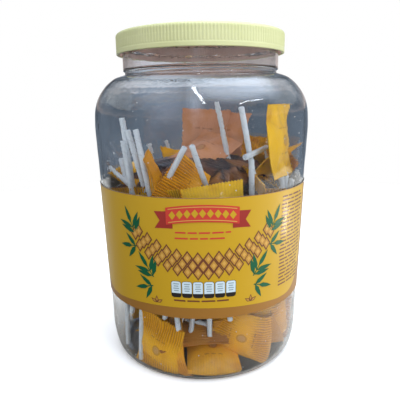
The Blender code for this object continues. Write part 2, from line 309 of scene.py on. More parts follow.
SETTLING_ROUNDS = 60
CLOSE_ENOUGH = 0.01


def sides_and_back():
    """Rows for what the front doesn't show: round the sides and back, piled lower from LOW_SIDE on"""
    draw = random.Random(12)
    places = []
    for step in range(7):
        angle = 92 + step * 24 + draw.uniform(-6, 6)
        height = draw.uniform(118, 136) if angle < LOW_SIDE else 108
        climb, bearing = draw.uniform(-85, -40), draw.uniform(110, 250)
        places.append((angle, 57, height, climb, bearing, draw.uniform(-25, 25)))
    for step in range(6):
        angle = 84 + step * 33 + draw.uniform(-9, 9)
        radius, height = draw.uniform(50, 62), draw.uniform(76, 96)
        places.append((angle, radius, height, draw.uniform(64, 88), draw.uniform(-180, 180), 0))
    for step in range(6):
        angle = 92 + step * 36 + draw.uniform(-6, 6)
        height, climb, bearing = draw.uniform(20, 36), draw.uniform(-20, 85), draw.uniform(100, 260)
        places.append((angle, 57, height, climb, bearing, draw.uniform(-25, 25)))
    for step in range(3):
        angle = 110 + step * 65 + draw.uniform(-9, 9)
        height, climb = draw.uniform(74, 92), draw.uniform(-88, -72)
        places.append((angle, 61, height, climb, draw.uniform(-180, 180), 0))
    for step in range(3):
        places.append((60 + step * 120, 26, 12, draw.uniform(0, 8), draw.uniform(60, 300), 84))
    return places


def floor_under(radius):
    """Height of the jar's inner floor at a distance from the axis, lowest inside the standing ring"""
    lowest = min(inner_line, key=lambda point: point.x)
    if radius >= lowest.y:
        return lowest.x
    floor = inner_line[inner_line.index(lowest):]
    for outer, inner in zip(floor, floor[1:]):
        if inner.y <= radius <= outer.y:
            return inner.x + (radius - inner.y) / (outer.y - inner.y) * (outer.x - inner.x)
    return floor[-1].x


def lollipop_place(angle, radius, height, climb, bearing, roll):
    """Matrix of a lollipop whose stick runs along its own +Z and whose pouch faces its own -Y"""
    turn, rise, swing = radians(angle), radians(climb), radians(bearing)
    outwards = Vector((sin(turn), -cos(turn), 0.0))
    along = Vector((cos(turn), sin(turn), 0.0))
    stick = cos(rise) * (cos(swing) * outwards + sin(swing) * along) + Vector((0.0, 0.0, sin(rise)))
    face = outwards - outwards.dot(stick) * stick
    if face.length < 0.2:
        face = Vector((0.0, 0.0, 1.0)) - stick.z * stick
    face = Matrix.Rotation(radians(roll), 3, stick) @ face.normalized()
    axes = Matrix((stick.cross(face), -face, stick)).transposed()
    return Matrix.Translation(outwards * radius + Vector((0.0, 0.0, height))) @ axes.to_4x4()


def settle(spot, share):
    """Moves a lollipop in and up until its bulge, tip and a share of its film lie clear inside the jar"""
    side, end, thick = share * POUCH_WIDTH / 2, share * POUCH_LENGTH / 2, POUCH_BULGE / 2
    limits = [Vector((x, y, z)) for x in (-side, side) for y in (-FILM_EDGE, FILM_EDGE)
              for z in (-end, 0.0, end)]
    limits += [Vector((0.0, y, z)) for y in (-thick, thick) for z in (-end / 2, 0.0, end / 2)]
    limits += [Vector((x, y, STICK_REACH)) for x in (-STICK_RADIUS, STICK_RADIUS)
               for y in (-STICK_RADIUS, STICK_RADIUS)]
    for _ in range(SETTLING_ROUNDS):
        moved = False
        for limit in limits:
            point = spot @ limit
            distance = hypot(point.x, point.y)
            lift = floor_under(distance) + CLEARANCE - point.z
            excess = distance - at_height(inner_line, point.z) + CLEARANCE
            if lift > CLOSE_ENOUGH:
                spot = Matrix.Translation((0.0, 0.0, lift)) @ spot
                moved = True
            elif excess > CLOSE_ENOUGH:
                spot = Matrix.Translation(Vector((-point.x, -point.y, 0.0)) * excess / distance) @ spot
                moved = True
        if not moved:
            break
    return spot


# Under the label the film is squeezed along the wall, and only the stiff share of it is kept off the wall
lollipops = [settle(lollipop_place(*numbers), 1.0) for numbers in ABOVE_LABEL]
lollipops += [settle(lollipop_place(*numbers), STIFF_SHARE) for numbers in BELOW_LABEL]
lollipops += [settle(lollipop_place(*numbers), 1.0) for numbers in sides_and_back() + ROUND_THE_BACK]


# Wrappers: flow-wrap pouches of golden printed film, one round each candy. Each end is crimped shut between
# ribbed jaws, so its ribs run lengthwise and fade into pleats; the cut ends are fine zigzags.

RIBS = 20
FILM_COLUMNS = 2 * RIBS
FILM_ROWS = [-1.0, -0.9, -0.76, -0.62, -0.5, -0.36, -0.14, 0.14, 0.36, 0.5, 0.62, 0.76, 0.9, 1.0]
RIB_DEPTH = 0.55
RIB_FADE = 0.25
FLAT_LENGTH = 0.24
SEAM_WIDTH = 0.14
ZIGZAG = 0.45
CANDY_HALF = 4.7
CANDY_REACH = (14.5, 15.5)
FILM_HALF = 0.2
STICK_UNDER_FILM = (2.0, 2.7)
CREASE_DEPTH = 0.55
OUTER_GAP = 0.5
INNER_GAP = 0.8
CREASING = ((-9, 9), (-9, 9), (-1, 1), (0, 6), (-2, 2))

# Places in the list of lollipops: three at the back whose film is painted in shade, two pressed to the front
# wall and painted lighter as if lit, four that others cover, painted darker as shade, and those whose crimps
# were pulled nearly flat
FIRST_LOW = len(ABOVE_LABEL)
IN_SHADE = (14, 15, 16)
LIT_BY_THE_WALL = (17, 20)
SHADED_UNDER_OTHERS = (23, FIRST_LOW + 3, FIRST_LOW + 6, FIRST_LOW + 12)
SMOOTHED = IN_SHADE + LIT_BY_THE_WALL + (FIRST_LOW + 2,)


def seam_share(across):
    """0 at a pouch's side seams, rising to 1 just inside them"""
    return min(1.0, (1 - abs(across)) / SEAM_WIDTH)


def ribbed_share(along, least):
    """How strongly the film is ribbed: from a least share round the candy to 1 in the crimped ends"""
    return min(1.0, max(least, (abs(along) - FLAT_LENGTH) / RIB_FADE))


def rib_at(across, along, column):
    """Height of a rib on the film, alternately up and down, fading towards the candy and the seams"""
    return RIB_DEPTH * (-1) ** column * ribbed_share(along, 0.25) * seam_share(across)


def film_point(across, along, column, facing, manner, ribbing):
    """A point of a pouch in its own millimetres: column counts the ribs, manner is its own creasing"""
    curl_low, curl_high, twist, phase, bow = manner
    seam = seam_share(across)
    swell = max(0.0, 1 - abs(along) ** 2.2)
    x = across * POUCH_WIDTH / 2 * (1 - 0.1 * swell)
    z = along * POUCH_LENGTH / 2
    if abs(along) == 1.0:
        z += ZIGZAG * (-1) ** column
    reach = hypot(x / CANDY_REACH[0], z / CANDY_REACH[1])
    candy = CANDY_HALF * exp(-reach ** 3.2)
    stick = STICK_UNDER_FILM[0] * exp(-(x / STICK_UNDER_FILM[1]) ** 2) if along > 0 else 0.0
    half = FILM_HALF + seam ** 0.6 * max(candy, stick)
    round_the_candy = exp(-((reach - 1.05) / 0.32) ** 2)
    crease = CREASE_DEPTH * sin(9 * atan2(z, x) + phase + facing) * round_the_candy * seam
    curl = (curl_high if along > 0 else curl_low) * max(0.0, abs(along) - 0.35) ** 2
    middle = curl + twist * x * along / 20 + bow * (across ** 2)
    return Vector((x, middle + ribbing * rib_at(across, along, column) + facing * (half + crease), z))


def pressed(point, facing, rib):
    """Film that would pass through the wall lies along it instead, ribs and all"""
    gap = (OUTER_GAP if facing < 0 else INNER_GAP) + RIB_DEPTH + rib
    distance = hypot(point.x, point.y)
    height = max(point.z, floor_under(distance) + gap)
    limit = min(distance, at_height(inner_line, height) - gap)
    return Vector((point.x * limit / distance, point.y * limit / distance, height))


draw = random.Random(7)


def film_tone(index):
    """A pouch's tone on the film's ramp: 0 lemon gold, 0.5 orange gold, 1 pink brown painted shade; lit ones
    painted lighter
    """
    if index in IN_SHADE:
        return 1.0
    low = FIRST_LOW <= index < FIRST_LOW + len(BELOW_LABEL)
    tone = draw.uniform(0.0, 0.5) + (0.25 if low else 0.0)
    return tone * (0.3 if index in LIT_BY_THE_WALL else 1.0)


film_points, film_faces, film_shade, film_groove_shade, film_map = [], [], [], [], []
for index, spot in enumerate(lollipops):
    manner = [draw.uniform(least, most) for least, most in CREASING]
    shade = film_tone(index)
    ribbing = 0.25 if index in SMOOTHED else 1.0
    # Pouches that others cover are painted in shade all over, as dark as a rib valley
    dim = 0.7 if index in SHADED_UNDER_OTHERS else 0.0
    sheets = []
    for facing in (-1, 1):
        sheet = []
        for along in FILM_ROWS:
            row = []
            for column in range(FILM_COLUMNS + 1):
                across = 2 * column / FILM_COLUMNS - 1
                row.append(len(film_points))
                point = spot @ film_point(across, along, column, facing, manner, ribbing)
                film_points.append(pressed(point, facing, ribbing * rib_at(across, along, column)))
                film_shade.append(shade)
                # Rib valleys are painted darker as shade, on alternate columns of each face
                groove = ribbing * ribbed_share(along, 0.0) * (column % 2 == (facing > 0))
                film_groove_shade.append(max(dim, groove))
                film_map.append(((across + 1) / 2 + (facing > 0), (along + 1) / 2 + index))
            sheet.append(row)
        for lower, upper in zip(sheet, sheet[1:]):
            for column in range(FILM_COLUMNS):
                quad = [lower[column], lower[column + 1], upper[column + 1], upper[column]]
                film_faces.append(quad if facing < 0 else quad[::-1])
        right = [row[-1] for row in sheet[1:-1]]
        left = [row[0] for row in sheet[-2:0:-1]]
        sheets.append(sheet[0] + right + sheet[-1][::-1] + left)
    for at in range(len(sheets[0])):
        after = (at + 1) % len(sheets[0])
        film_faces.append([sheets[0][after], sheets[0][at], sheets[1][at], sheets[1][after]])

# Printed and lacquered BOPP film: glossy golden yellow, thin, so it is finely creased every 4 mm or so. Its
# grooves are painted darker brown as shade, folds show orange where ink is thick, and each face has a brown
# ring round a pale middle with a broken brown line on either side. These are the print's sizes in
# millimetres.
RING_RADIUS = 4.0
RING_MIDDLE = 2.9
LINE_AWAY = 8.2
LINE_HALF = 0.45
LINE_REACH = 12.0
DASH_HALF_PITCH = 2.6
DASH_HALF = 1.7
wrapper_film = empty_finish("Printed BOPP film")
# The tone ramp ends in the film's painted shade, a pink brown, for the pouches at the back
shade_of = add_node(wrapper_film, "ShaderNodeAttribute", attribute_name="shade")
gold = add_node(wrapper_film, "ShaderNodeValToRGB", links={"Fac": shade_of.outputs["Fac"]},
                stops=[(0.0, "#FCC81E"), (0.5, "#EFA61E"), (1.0, "#DA9F78")])
film_place = add_node(wrapper_film, "ShaderNodeTexCoord")
mottle = add_node(wrapper_film, "ShaderNodeTexNoise", {"Scale": 1 / 0.012, "Detail": 4.0},
                  {"Vector": film_place.outputs["Object"]})
thick_ink = add_node(wrapper_film, "ShaderNodeMapRange",
                     {"From Min": 0.5, "From Max": 0.72, "To Max": 0.5},
                     {"Value": mottle.outputs["Fac"]})
inked = add_node(wrapper_film, "ShaderNodeMix", {"B": linear("#C98018")},
                 {"Factor": thick_ink.outputs["Result"], "A": gold.outputs["Color"]}, data_type="RGBA")
# Painted shade: rib valleys and covered pouches are darkened towards brown
groove_shade_of = add_node(wrapper_film, "ShaderNodeAttribute", attribute_name="groove")
groove_shade_share = add_node(wrapper_film, "ShaderNodeMath", {1: 0.62}, {0: groove_shade_of.outputs["Fac"]},
                        operation="MULTIPLY")
groove_shaded = add_node(wrapper_film, "ShaderNodeMix", {"B": linear("#7C3E10")},
                   {"Factor": groove_shade_share.outputs[0], "A": inked.outputs[2]}, data_type="RGBA")
film_uv = add_node(wrapper_film, "ShaderNodeUVMap", uv_map="UVMap")
film_tile = add_node(wrapper_film, "ShaderNodeVectorMath", links={0: film_uv.outputs["UV"]},
                     operation="FRACTION")
film_offset = add_node(wrapper_film, "ShaderNodeVectorMath", {1: (0.5, 0.5, 0.0)},
                       {0: film_tile.outputs["Vector"]}, operation="SUBTRACT")
film_spread = add_node(wrapper_film, "ShaderNodeVectorMath", {1: (POUCH_WIDTH, POUCH_LENGTH, 0.0)},
                       {0: film_offset.outputs["Vector"]}, operation="MULTIPLY")
film_reach = add_node(wrapper_film, "ShaderNodeVectorMath", links={0: film_spread.outputs["Vector"]},
                      operation="LENGTH")
ring = add_node(wrapper_film, "ShaderNodeMapRange",
                {"From Min": RING_RADIUS - 0.6, "From Max": RING_RADIUS, "To Min": 1.0, "To Max": 0.0},
                {"Value": film_reach.outputs["Value"]})
ring_middle = add_node(wrapper_film, "ShaderNodeMapRange",
                       {"From Min": RING_MIDDLE - 0.5, "From Max": RING_MIDDLE,
                        "To Min": 0.4, "To Max": 0.0},
                       {"Value": film_reach.outputs["Value"]})
film_axes = add_node(wrapper_film, "ShaderNodeSeparateXYZ",
                     links={"Vector": film_spread.outputs["Vector"]})
line_off = add_node(wrapper_film, "ShaderNodeMath", links={0: film_axes.outputs["Y"]},
                    operation="ABSOLUTE")
line_at = add_node(wrapper_film, "ShaderNodeMath", {1: LINE_AWAY, 2: LINE_HALF}, {0: line_off.outputs[0]},
                   operation="COMPARE")
dash_run = add_node(wrapper_film, "ShaderNodeMath", {1: DASH_HALF_PITCH}, {0: film_axes.outputs["X"]},
                    operation="PINGPONG")
dash = add_node(wrapper_film, "ShaderNodeMath", {1: DASH_HALF}, {0: dash_run.outputs[0]},
                operation="LESS_THAN")
line_reach = add_node(wrapper_film, "ShaderNodeMath", {1: LINE_REACH}, {0: film_reach.outputs["Value"]},
                      operation="LESS_THAN")
dashes = add_node(wrapper_film, "ShaderNodeMath", links={0: line_at.outputs[0], 1: dash.outputs[0]},
                  operation="MULTIPLY")
lines = add_node(wrapper_film, "ShaderNodeMath", links={0: dashes.outputs[0], 1: line_reach.outputs[0]},
                 operation="MULTIPLY")
brown_share = add_node(wrapper_film, "ShaderNodeMath",
                       links={0: ring.outputs["Result"], 1: lines.outputs[0]}, operation="MAXIMUM")
brown_ink = add_node(wrapper_film, "ShaderNodeMath", {1: 0.42}, {0: brown_share.outputs[0]},
                     operation="MULTIPLY")
browned = add_node(wrapper_film, "ShaderNodeMix", {"B": linear("#6E3322")},
                   {"Factor": brown_ink.outputs[0], "A": groove_shaded.outputs[2]}, data_type="RGBA")
paled = add_node(wrapper_film, "ShaderNodeMix", {"B": linear("#D8B27C")},
                 {"Factor": ring_middle.outputs["Result"], "A": browned.outputs[2]}, data_type="RGBA")
creases = add_node(wrapper_film, "ShaderNodeTexVoronoi", {"Scale": 1 / 0.004},
                   {"Vector": film_place.outputs["Object"]}, feature="DISTANCE_TO_EDGE")
crease_bump = add_node(wrapper_film, "ShaderNodeBump", {"Strength": 0.35, "Distance": 0.0006},
                       {"Height": creases.outputs["Distance"]})
film_shader = add_node(wrapper_film, "ShaderNodeBsdfPrincipled",
                       {"Roughness": 0.32, "IOR": 1.5, "Specular IOR Level": 0.2, "Coat Weight": 0.3,
                        "Coat Roughness": 0.06},
                       {"Base Color": paled.outputs[2], "Normal": crease_bump.outputs["Normal"]})
add_node(wrapper_film, "ShaderNodeOutputMaterial", links={"Surface": film_shader.outputs["BSDF"]})


def lay_map(item, places):
    """Gives a piece its UV map, from one place for each of its points"""
    layer = item.data.uv_layers.new(name="UVMap")
    for loop in item.data.loops:
        layer.data[loop.index].uv = places[loop.vertex_index]


wrappers = make_piece("lollipop_wrappers", film_points, film_faces, [wrapper_film], sharp=42)
for name, values in (("shade", film_shade), ("groove", film_groove_shade)):
    layer = wrappers.data.attributes.new(name, "FLOAT", "POINT")
    layer.data.foreach_set("value", values)
lay_map(wrappers, film_map)
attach(wrappers, "root")
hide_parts("lollipops")


# Sticks: tubes of white paper rolled tight at a slant, cut square, 3.6 mm thick. One end is cast into the
# candy and the other stands free, with the roll's small hole in its cut face.

STICK_SIDES = 12
PAPER_WHITE = "#D8DFE6"
STICK_LINE = [(STICK_START, 0.0), (STICK_START, 0.95), (STICK_START + 20, 1.0), (STICK_REACH - 1.2, 1.0),
              (STICK_REACH - 0.25, 1.0), (STICK_REACH, 0.86), (STICK_REACH, 0.42),
              (STICK_REACH - 0.9, 0.3), (STICK_REACH - 0.9, 0.0)]

stick_points, stick_faces, stick_map = [], [], []
for spot in lollipops:
    bend = draw.uniform(-0.9, 0.9)
    turned_points, turned_faces = lathe([(height, share * STICK_RADIUS) for height, share in STICK_LINE],
                                        STICK_SIDES)
    first = len(stick_points)
    for point in turned_points:
        run = (point.z - STICK_START) / (STICK_REACH - STICK_START)
        bent = point + Vector((bend * run * (1 - run) * 2, 0.0, 0.0))
        stick_points.append(spot @ bent)
        stick_map.append((atan2(point.y, point.x) / (2 * pi) + 0.5, point.z / 10))
    stick_faces += [[corner + first for corner in face] for face in turned_faces]

# Uncoated paper: matt, bluish white, with the slanted edge of each lap every 9 mm along the stick
rolled_paper = empty_finish("Rolled paper")
paper_map = add_node(rolled_paper, "ShaderNodeUVMap", uv_map="UVMap")
axes = add_node(rolled_paper, "ShaderNodeSeparateXYZ", links={"Vector": paper_map.outputs["UV"]})
slant = add_node(rolled_paper, "ShaderNodeMath", {1: 1.1}, {0: axes.outputs["Y"]}, operation="MULTIPLY")
helix = add_node(rolled_paper, "ShaderNodeMath", links={0: slant.outputs[0], 1: axes.outputs["X"]},
                 operation="ADD")
lap = add_node(rolled_paper, "ShaderNodeMath", links={0: helix.outputs[0]}, operation="FRACT")
lap_edge = add_node(rolled_paper, "ShaderNodeValToRGB", links={"Fac": lap.outputs[0]},
                    stops=[(0.0, "#B0BAC4"), (0.07, PAPER_WHITE), (1.0, PAPER_WHITE)])
fibre_place = add_node(rolled_paper, "ShaderNodeTexCoord")
fibre = add_node(rolled_paper, "ShaderNodeTexNoise", {"Scale": 1 / 0.0012, "Detail": 2.0},
                 {"Vector": fibre_place.outputs["Object"]})
fibre_bump = add_node(rolled_paper, "ShaderNodeBump", {"Strength": 0.25, "Distance": 0.0002},
                      {"Height": fibre.outputs["Fac"]})
paper_shader = add_node(rolled_paper, "ShaderNodeBsdfPrincipled", {"Roughness": 0.75},
                        {"Base Color": lap_edge.outputs["Color"], "Normal": fibre_bump.outputs["Normal"]})
add_node(rolled_paper, "ShaderNodeOutputMaterial", links={"Surface": paper_shader.outputs["BSDF"]})

sticks = make_piece("lollipop_sticks", stick_points, stick_faces, [rolled_paper], sharp=45)
lay_map(sticks, stick_map)
face_outwards(sticks)
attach(sticks, "root")
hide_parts("lollipops")


# Heap behind them: the other lollipops of the jar, packed too deep to tell apart. It is their crumpled film
# in shade, out to the wall behind the label and a little smaller where the jar is clear.

CORE_LINE = [(146.0, 0.0), (138.0, 40.0), (118.0, 66.0), (57.0, 65.0), (46.0, 48.0), (14.0, 46.0),
             (7.2, 42.0), (7.2, 0.0)]
CORE_COLUMNS = 200
FOLD_HEIGHT = 4.2
WRINKLE_HEIGHT = 1.9
FOLDS_INSIDE = 5.2
PILE_RIB = 0.002
WAVE_AT_ONE = 0.314


def crumple(turn, height):
    """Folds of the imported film, from a few millimetres deep down to creases"""
    around = Vector((3.2 * cos(turn), 3.2 * sin(turn), height / 16))
    ridge = 1 - 2 * abs(noise.noise(around))
    fine = 1 - 2 * abs(noise.noise(around * 2.6))
    share = min(1.0, max(0.0, (height - 8) / 8))
    return share * (FOLD_HEIGHT * ridge + WRINKLE_HEIGHT * fine - FOLDS_INSIDE)


core_line = [tuple(point) for point in through(CORE_LINE, 2.0, False)] + [CORE_LINE[-1]]
core_points, core_faces = lathe(core_line, CORE_COLUMNS, crumple)

# The same film deep in the pile, its dark tones painted shade where little light comes: each pouch, some
# 17 mm of it showing, has its own dark brown tone, with painted shade in the dark gaps between and ribs 2 mm
# apart. Waves at scale 1 repeat every 0.314 m.
shaded_film = empty_finish("Film in the pile, painted in shade")
heap_place = add_node(shaded_film, "ShaderNodeTexCoord")
sway = add_node(shaded_film, "ShaderNodeTexNoise", {"Scale": 1 / 0.02, "Detail": 2.0},
                {"Vector": heap_place.outputs["Object"]})
swayed = add_node(shaded_film, "ShaderNodeVectorMath", {"Scale": 0.012}, {0: sway.outputs["Color"]},
                  operation="SCALE")
pile_place = add_node(shaded_film, "ShaderNodeVectorMath",
                      links={0: heap_place.outputs["Object"], 1: swayed.outputs["Vector"]}, operation="ADD")
pouches = add_node(shaded_film, "ShaderNodeTexVoronoi", {"Scale": 1 / 0.017},
                   {"Vector": pile_place.outputs["Vector"]})
gaps = add_node(shaded_film, "ShaderNodeTexVoronoi", {"Scale": 1 / 0.017},
                {"Vector": pile_place.outputs["Vector"]}, feature="DISTANCE_TO_EDGE")
pouch_tone = add_node(shaded_film, "ShaderNodeSeparateColor", links={"Color": pouches.outputs["Color"]})
pile_shade_tones = add_node(shaded_film, "ShaderNodeValToRGB", links={"Fac": pouch_tone.outputs["Red"]},
                     stops=[(0.0, "#3A2A2C"), (0.4, "#4E3733"), (0.65, "#6C4530"), (1.0, "#9A6428")])
gap_shade = add_node(shaded_film, "ShaderNodeMapRange", {"From Max": 0.16, "To Min": 0.12},
                    {"Value": gaps.outputs["Distance"]})
pile_shade_tone = add_node(shaded_film, "ShaderNodeHueSaturation",
                     links={"Color": pile_shade_tones.outputs["Color"], "Value": gap_shade.outputs["Result"]})
pile_ribs = add_node(shaded_film, "ShaderNodeTexWave", {"Scale": WAVE_AT_ONE / PILE_RIB, "Distortion": 3.0},
                     {"Vector": pile_place.outputs["Vector"]}, bands_direction="DIAGONAL")
pile_bump = add_node(shaded_film, "ShaderNodeBump", {"Strength": 0.25, "Distance": 0.0008},
                     {"Height": pile_ribs.outputs["Fac"]})
deep_shader = add_node(shaded_film, "ShaderNodeBsdfPrincipled", {"Roughness": 0.4},
                       {"Base Color": pile_shade_tone.outputs["Color"], "Normal": pile_bump.outputs["Normal"]})
add_node(shaded_film, "ShaderNodeOutputMaterial", links={"Surface": deep_shader.outputs["BSDF"]})

core = make_piece("lollipop_heap", core_points, core_faces, [shaded_film], sharp=60)
face_outwards(core)
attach(core, "root")
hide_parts("lollipops")


# Sugar dust: crumbs that have rubbed off the candies and cling to the inside of the wall, most of them in
# the clear part over the heap, 0.3 to 1.1 mm across.

CRUMBS = 170
CRUMB_LEAST = 0.18
CRUMB_SPREAD = 0.36
CRUMB_CORNERS = [Vector(corner) for corner in ((1, 0, 0), (-1, 0, 0), (0, 1, 0), (0, -1, 0),
                                               (0, 0, 1), (0, 0, -1))]
CRUMB_SIDES = ((0, 2, 4), (2, 1, 4), (1, 3, 4), (3, 0, 4), (2, 0, 5), (1, 2, 5), (3, 1, 5), (0, 3, 5))
crumb_points, crumb_faces = [], []
for crumb in range(CRUMBS):
    height = draw.uniform(118, 196) if crumb % 4 else draw.uniform(6, 46)
    turn = draw.uniform(0, 2 * pi)
    size = CRUMB_LEAST + CRUMB_SPREAD * draw.random() ** 2
    distance = at_height(inner_line, height) - size - 0.5
    middle = Vector((distance * sin(turn), -distance * cos(turn), height))
    first = len(crumb_points)
    crumb_points += [middle + corner * size * draw.uniform(0.7, 1.2) for corner in CRUMB_CORNERS]
    crumb_faces += [[first + corner for corner in side] for side in CRUMB_SIDES]

# Broken sugar: white and bright, as its faces throw the light back
sugar = empty_finish("Sugar crumbs")
sugar_shader = add_node(sugar, "ShaderNodeBsdfPrincipled",
                        {"Base Color": linear("#FBFCFD"), "Roughness": 0.25, "IOR": 1.56})
add_node(sugar, "ShaderNodeOutputMaterial", links={"Surface": sugar_shader.outputs["BSDF"]})
crumbs = make_piece("sugar_crumbs", crumb_points, crumb_faces, [sugar], sharp=10)
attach(crumbs, "root")
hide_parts("lollipops")


# Label: one strip of coated paper, printed in flat colours and wrapped round the jar, its ends lapped at the
# back. A golden field on amber carries a ribbon, a hanging swag of diamond cells, sprigs, tiles and bars.

LABEL_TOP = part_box("label")[1].z / MM
LABEL_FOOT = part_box("label")[0].z / MM
LABEL_SHEET = 0.35
LABEL_GAP = 0.3
LABEL_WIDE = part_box("label")[1].x / MM
LABEL_NARROW = at_height(outer_line, LABEL_FOOT) + LABEL_GAP + LABEL_SHEET
LABEL_COLUMNS = 300
LABEL_STEPS = 12
LABEL_LAP = 8.0
ROUND_RADIUS = 73.2
FIELD_CORNER = 24.0
INKS = {"golden yellow": "#C69D20", "amber": "#9C6C2C", "red": "#C83E30", "deep red": "#9C2F28",
        "brown": "#70402A", "honey": "#BE8C3C", "pale honey": "#D2A450", "leaf green": "#0C5C3A",
        "pale blue": "#CFE1EA", "black": "#2A2422", "grey": "#8FA0AA"}
CELL_SPACING = 6.4
CELL_ROWS = 4.6
CELL_HALF = (3.3, 4.7)
LEAF_SPACING = 3.3
LEAF_TILT = 48
TILE_SPACING = 6.9
CELL_PRINTS = ((1.0, 0.1, "brown"), (0.72, 0.15, "honey"), (0.36, 0.2, "pale honey"))


def label_radius(height):
    """Outside radius of the label, a shallow cone like the wall under it"""
    share = (height - LABEL_FOOT) / (LABEL_TOP - LABEL_FOOT)
    return LABEL_NARROW + share * (LABEL_WIDE - LABEL_NARROW)


def on_label(across, height, lift):
    """A point of the print, by its distance round the label from the front's middle, and its height"""
    turn = across / ROUND_RADIUS
    out = label_radius(height) + lift
    return Vector((out * sin(turn), -out * cos(turn), height))


def lap_relief(turn, height):
    """The overlapping end of the strip stands one sheet higher"""
    return 0.2 if 0 <= (turn - pi) * ROUND_RADIUS <= LABEL_LAP else 0.0


sleeve_heights = [LABEL_TOP + (LABEL_FOOT - LABEL_TOP) * step / LABEL_STEPS
                  for step in range(LABEL_STEPS + 1)]
sleeve_line = [(height, label_radius(height)) for height in sleeve_heights]
sleeve_line += [(height, label_radius(height) - LABEL_SHEET) for height in sleeve_heights[::-1]]
sleeve_line.append(sleeve_line[0])
sleeve_points, sleeve_faces = lathe(sleeve_line, LABEL_COLUMNS, lap_relief)
sleeve_sides = [0 if at < LABEL_STEPS * LABEL_COLUMNS else 1 for at in range(len(sleeve_faces))]

print_points, print_faces, print_inks = [], [], []


def patch(outline, lift, ink):
    """A small printed shape, its corners anticlockwise"""
    first = len(print_points)
    wide = max(across for across, height in outline) - min(across for across, height in outline)
    sag = wide ** 2 / (8 * ROUND_RADIUS)
    print_points.extend(on_label(across, height, lift + sag) for across, height in outline)
    print_faces.append(list(range(first, first + len(outline))))
    print_inks.append(list(INKS).index(ink))


def band(lower, upper, start, end, lift, ink):
    """A wide printed shape between two curves, in columns that follow the jar's round"""
    count = max(1, round((end - start) / 1.5))
    first = len(print_points)
    for step in range(count + 1):
        across = start + (end - start) * step / count
        print_points.extend((on_label(across, lower(across), lift), on_label(across, upper(across), lift)))
    for step in range(count):
        at = first + 2 * step
        print_faces.append([at, at + 2, at + 3, at + 1])
        print_inks.append(list(INKS).index(ink))


def turned(shape, across, height, tilt):
    """A shape's corners tilted from the upright towards +X and moved to a place on the label"""
    lean = radians(tilt)
    return [(across + x * cos(lean) + y * sin(lean), height + y * cos(lean) - x * sin(lean))
            for x, y in shape]


def rounded(wide, high, corner):
    """Half sizes of a rectangle with round corners"""
    shape = []
    for quarter, (x, y) in enumerate(((1, 1), (-1, 1), (-1, -1), (1, -1))):
        for step in range(4):
            turn = pi / 2 * (quarter + step / 3)
            shape.append((x * (wide - corner) + corner * cos(turn),
                          y * (high - corner) + corner * sin(turn)))
    return shape


def field(start, end):
    """A golden field with round lower corners and a slightly bowed foot"""
    def foot(across):
        bowed = 55.6 - 3.0 * min(1.0, ((across - (start + end) / 2) / 60) ** 2)
        inside = max(0.0, FIELD_CORNER - (across - start), FIELD_CORNER - (end - across))
        return bowed + FIELD_CORNER - (max(0.0, FIELD_CORNER ** 2 - inside ** 2)) ** 0.5
    band(foot, lambda across: LABEL_TOP - 0.4, start, end, 0.05, "golden yellow")


def diamond(wide, high):
    """Half sizes of a diamond"""
    return [(wide, 0), (0, high), (-wide, 0), (0, -high)]


def swag(middle, reach, low, rise, rows):
    """Diamond cells of comb in rows that hang in a curve, each with a pale centre"""
    for row in range(rows):
        count = int(reach // 6)
        for step in range(-count, count + row % 2):
            across = CELL_SPACING * (step + 0.5 - 0.5 * (row % 2))
            height = low + CELL_ROWS * row + rise * (across / reach) ** 2
            for share, lift, ink in CELL_PRINTS:
                cell = diamond(CELL_HALF[0] * share, CELL_HALF[1] * share)
                patch(turned(cell, middle + across, height, 0), lift, ink)


def sprig(across, height, tilt, pairs, length):
    """A stem with pairs of pointed leaves and one more at its tip"""
    leaf = [(0, 0), (1.5, 0.3 * length), (1.25, 0.62 * length), (0, length), (-1.25, 0.62 * length),
            (-1.5, 0.3 * length)]
    top = LEAF_SPACING * pairs
    stem = [(0.4, -1.0), (0.3, top), (-0.3, top), (-0.4, -1.0)]
    patch(turned(stem, across, height, tilt), 0.1, "leaf green")
    lean = radians(tilt)
    for pair in range(pairs):
        along = LEAF_SPACING * pair
        for side in (-1, 1):
            leaf_tilt = tilt + side * LEAF_TILT
            patch(turned(leaf, across + along * sin(lean), height + along * cos(lean), leaf_tilt), 0.14,
                  "leaf green")
    along = top - 0.6
    patch(turned(leaf, across + along * sin(lean), height + along * cos(lean), tilt), 0.18, "leaf green")


def ribbon(middle, height, reach, deep):
    """An arched ribbon with folded, forked ends, pinstripes and a row of small diamonds"""
    def arch(lift):
        return lambda across: height + lift + 2.2 * (1 - ((across - middle) / reach) ** 2)
    for side in (-1, 1):
        for top in (0, 1):
            prong = [(reach - 4, deep / 2 - 2.6), (reach + 4, deep / 2 - 2.8),
                     (reach + 7.5, deep - 2.6 if top else -2.6), (reach - 4, deep - 2.2 if top else -2.2)]
            tail = [(side * x, y) for x, y in prong]
            if side * (1 - 2 * top) > 0:
                tail.reverse()
            patch(turned(tail, middle, height, 0), 0.1, "deep red")
    band(arch(0), arch(deep), middle - reach, middle + reach, 0.42, "red")
    for stripe in (1.0, deep - 1.5):
        band(arch(stripe), arch(stripe + 0.5), middle - reach + 1.5, middle + reach - 1.5, 0.47,
             "pale honey")
    for step in range(-4, 5):
        across = middle + step * (reach - 4) / 4
        spot = arch(deep / 2)(across)
        patch(turned(diamond(2.1, 2.7), across, spot, 0), 0.47, "golden yellow")


